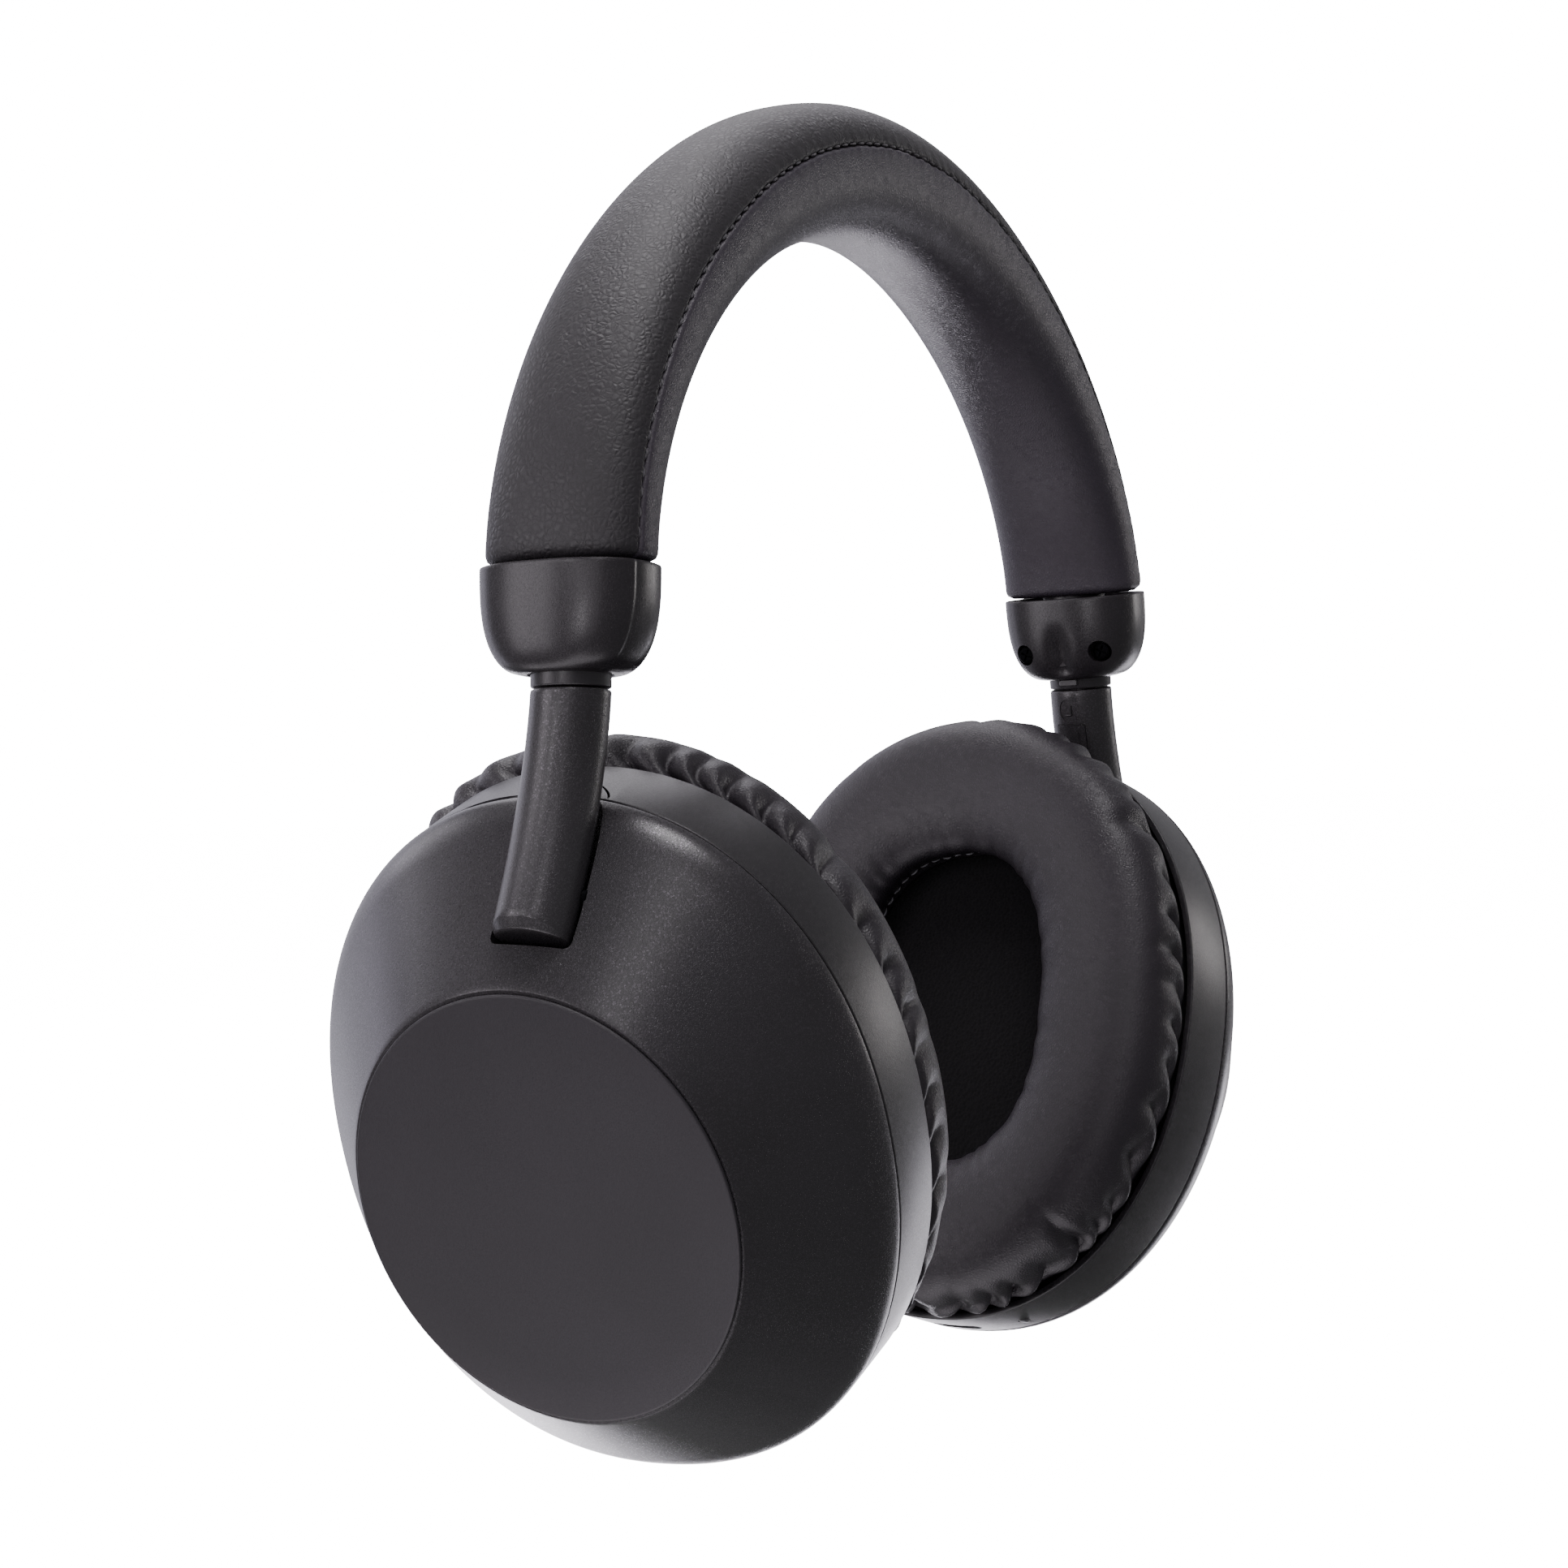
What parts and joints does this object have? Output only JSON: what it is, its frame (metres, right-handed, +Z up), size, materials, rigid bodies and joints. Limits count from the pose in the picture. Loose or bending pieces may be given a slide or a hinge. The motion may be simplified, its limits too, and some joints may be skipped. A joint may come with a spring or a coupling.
{
  "type": "over-ear headphones",
  "caption": "Over-ear wireless headphones with a padded arch headband, sliding stems, swivelling tube arms and tilting oval cups with soft ear pads",
  "frame": {"origin": "the head rest: the middle of the headband pad's underside at its top", "axes": "+Z up, -Y towards the wearer's front, +X towards the wearer's left ear"},
  "size_m": [0.1854, 0.0815, 0.1825],
  "materials": {
    "cover_leather": "pebble-grained soft leather",
    "pad_leather": "smooth soft leather",
    "housing_plastic": "satin charcoal plastic",
    "stem_plastic": "satin black tube",
    "arm_plastic": "satin plastic with fine metallic flake",
    "shell_plastic": "satin plastic with fine metallic flake",
    "face_plastic": "smooth fine-matt plastic",
    "inner_plastic": "black matt plastic",
    "ear_leather": "soft smooth leather with gathered sides",
    "ear_fabric": "black acoustic mesh",
    "steel": "bright steel",
    "board": "green circuit board",
    "battery_wrap": "blue shrink wrap"
  },
  "bodies": {
    "headband": {"headband_cover": "cover_leather", "headband_pad": "pad_leather", "headband_spring": "steel", "housing_left": "housing_plastic", "housing_screw_left_front": "steel", "housing_screw_left_rear": "steel", "slider_guide_left": "inner_plastic", "housing_right": "housing_plastic", "housing_screw_right_front": "steel", "housing_screw_right_rear": "steel", "slider_guide_right": "inner_plastic"},
    "slider_left": {"slider_stem_left": "stem_plastic"},
    "arm_left": {"arm_left": "arm_plastic", "arm_panel_left": "arm_plastic"},
    "cup_left": {"outer_shell_left": "shell_plastic", "arm_channel_left": "inner_plastic", "hinge_pin_left": "steel", "face_plate_left": "face_plastic", "rim_ring_left": "shell_plastic", "pad_mount_ring_left": "inner_plastic", "baffle_plate_left": "inner_plastic", "driver_frame_left": "inner_plastic", "diaphragm_left": "ear_fabric", "driver_magnet_left": "steel", "ear_mesh_left": "ear_fabric", "ear_pad_left": "ear_leather", "charge_port": "steel", "status_lamp": "ear_fabric", "battery": "battery_wrap"},
    "slider_right": {"slider_stem_right": "stem_plastic"},
    "arm_right": {"arm_right": "arm_plastic", "arm_panel_right": "arm_plastic"},
    "cup_right": {"outer_shell_right": "shell_plastic", "arm_channel_right": "inner_plastic", "hinge_pin_right": "steel", "face_plate_right": "face_plastic", "rim_ring_right": "shell_plastic", "pad_mount_ring_right": "inner_plastic", "baffle_plate_right": "inner_plastic", "driver_frame_right": "inner_plastic", "diaphragm_right": "ear_fabric", "driver_magnet_right": "steel", "ear_mesh_right": "ear_fabric", "ear_pad_right": "ear_leather", "circuit_board": "board"},
    "volume_up": {"volume_up_button": "housing_plastic"},
    "volume_down": {"volume_down_button": "housing_plastic"},
    "power": {"power_button": "housing_plastic"}
  },
  "joints": [
    {"name": "slide_left", "type": "slide", "parent": "headband", "child": "slider_left", "axis": [0.0854, 0, -0.9963], "range_m": [0, 0.018]},
    {"name": "swivel_left", "type": "hinge", "parent": "slider_left", "child": "arm_left", "pos_m": [0.07807, 0, -0.06297], "axis": [0.0854, 0, -0.9963], "range_deg": [-14.6, 85.4]},
    {"name": "tilt_left", "type": "hinge", "parent": "arm_left", "child": "cup_left", "pos_m": [0.08356, 0.00066, -0.08809], "axis": [-0.1302, -0.9915, -0.0068], "range_deg": [0, 12]},
    {"name": "slide_right", "type": "slide", "parent": "headband", "child": "slider_right", "axis": [-0.0854, 0, -0.9963], "range_m": [0, 0.018]},
    {"name": "swivel_right", "type": "hinge", "parent": "slider_right", "child": "arm_right", "pos_m": [-0.07807, 0, -0.06297], "axis": [0.0854, 0, 0.9963], "range_deg": [-10, 90]},
    {"name": "tilt_right", "type": "hinge", "parent": "arm_right", "child": "cup_right", "pos_m": [-0.08349, 0.00092, -0.0881], "axis": [-0.0506, 0.9987, 0], "range_deg": [0, 12]},
    {"name": "volume_up_press", "type": "slide", "parent": "cup_right", "child": "volume_up", "axis": [-0.0463, -0.9556, 0.2911], "range_m": [0, 0.0005], "stiffness_N_per_m": 900, "springref_m": -0.0004},
    {"name": "volume_down_press", "type": "slide", "parent": "cup_right", "child": "volume_down", "axis": [-0.1159, -0.8636, 0.4908], "range_m": [0, 0.0005], "stiffness_N_per_m": 900, "springref_m": -0.0004},
    {"name": "power_press", "type": "slide", "parent": "cup_right", "child": "power", "axis": [-0.204, -0.6535, 0.7289], "range_m": [0, 0.0005], "stiffness_N_per_m": 900, "springref_m": -0.0004}
  ]
}
